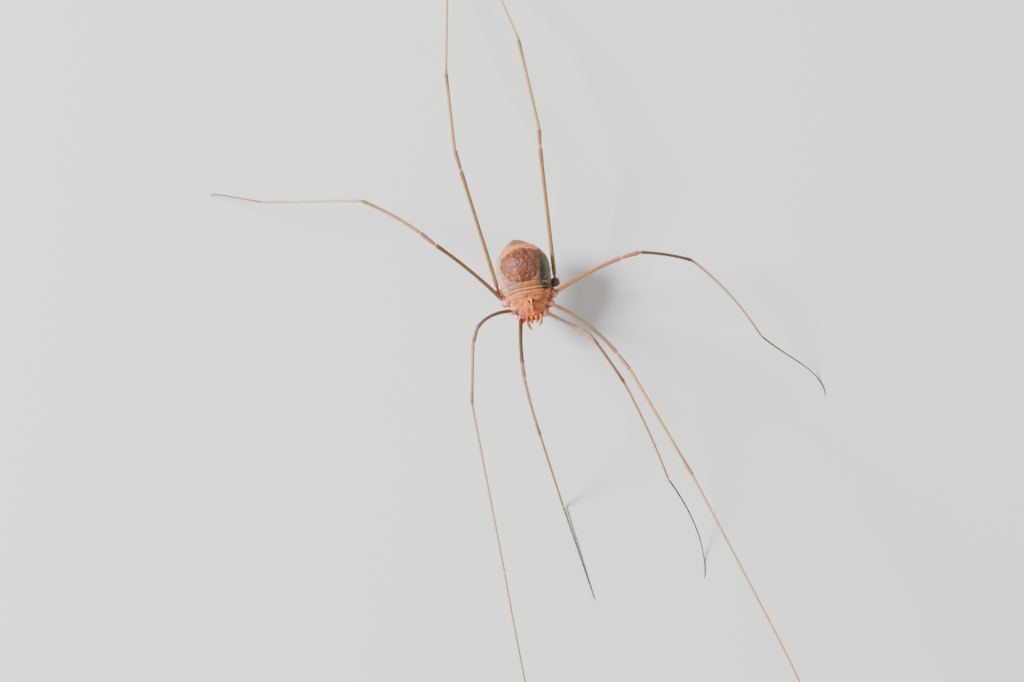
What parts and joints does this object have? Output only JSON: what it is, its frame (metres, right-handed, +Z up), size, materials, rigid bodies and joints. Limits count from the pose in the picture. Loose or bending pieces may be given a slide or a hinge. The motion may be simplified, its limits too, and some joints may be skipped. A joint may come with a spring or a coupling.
{
  "type": "harvestman",
  "caption": "Life-size harvestman with a small domed body and very long thin legs, standing with its long feeler legs raised and reaching ahead.",
  "frame": {"origin": "middle of the model's footprint on the floor, under the middle of its box", "axes": "-Y is ahead of the animal, +X is its left side, +Z is up from the floor it stands on"},
  "size_m": [0.0572, 0.112, 0.0314],
  "materials": {
    "carapace": "orange-brown cuticle, fine grained, satin",
    "back": "dark reddish-brown saddle with a paler border and whitish flanks, rough grain",
    "mouthparts": "pinkish orange cuticle, satin",
    "eye": "black, wet gloss",
    "coxa": "pinkish, smooth and glossy, as cuticle",
    "femur": "golden brown to dark brown cuticle, fine denticles",
    "patella": "pinkish brown cuticle with paler joints",
    "tibia": "golden tan cuticle, darker at the end",
    "metatarsus": "pale tan cuticle",
    "tarsus": "tan to nearly black at the tip, ringed at each article"
  },
  "bodies": {
    "root": {"prosoma": "carapace", "ocularium": "carapace", "opisthosoma": "back", "eye_left": "eye", "eye_right": "eye", "chelicera_left": "mouthparts", "chelicera_right": "mouthparts", "pedipalp_left": "mouthparts", "pedipalp_right": "mouthparts", "leg1_left_coxa": "coxa", "leg1_left_femur": "femur", "leg1_left_patella": "patella", "leg1_left_tibia": "tibia", "leg1_left_metatarsus": "metatarsus", "leg1_left_tarsus": "tarsus", "leg1_right_coxa": "coxa", "leg1_right_femur": "femur", "leg1_right_patella": "patella", "leg1_right_tibia": "tibia", "leg1_right_metatarsus": "metatarsus", "leg1_right_tarsus": "tarsus", "leg2_left_coxa": "coxa", "leg2_left_femur": "femur", "leg2_left_patella": "patella", "leg2_left_tibia": "tibia", "leg2_left_metatarsus": "metatarsus", "leg2_left_tarsus": "tarsus", "leg2_right_coxa": "coxa", "leg2_right_femur": "femur", "leg2_right_patella": "patella", "leg2_right_tibia": "tibia", "leg2_right_metatarsus": "metatarsus", "leg2_right_tarsus": "tarsus", "leg3_left_coxa": "coxa", "leg3_left_femur": "femur", "leg3_left_patella": "patella", "leg3_left_tibia": "tibia", "leg3_left_metatarsus": "metatarsus", "leg3_left_tarsus": "tarsus", "leg3_right_coxa": "coxa", "leg3_right_femur": "femur", "leg3_right_patella": "patella", "leg3_right_tibia": "tibia", "leg3_right_metatarsus": "metatarsus", "leg3_right_tarsus": "tarsus", "leg4_left_coxa": "coxa", "leg4_left_femur": "femur", "leg4_left_patella": "patella", "leg4_left_tibia": "tibia", "leg4_left_metatarsus": "metatarsus", "leg4_left_tarsus": "tarsus", "leg4_right_coxa": "coxa", "leg4_right_femur": "femur", "leg4_right_patella": "patella", "leg4_right_tibia": "tibia", "leg4_right_metatarsus": "metatarsus", "leg4_right_tarsus": "tarsus"}
  },
  "joints": []
}
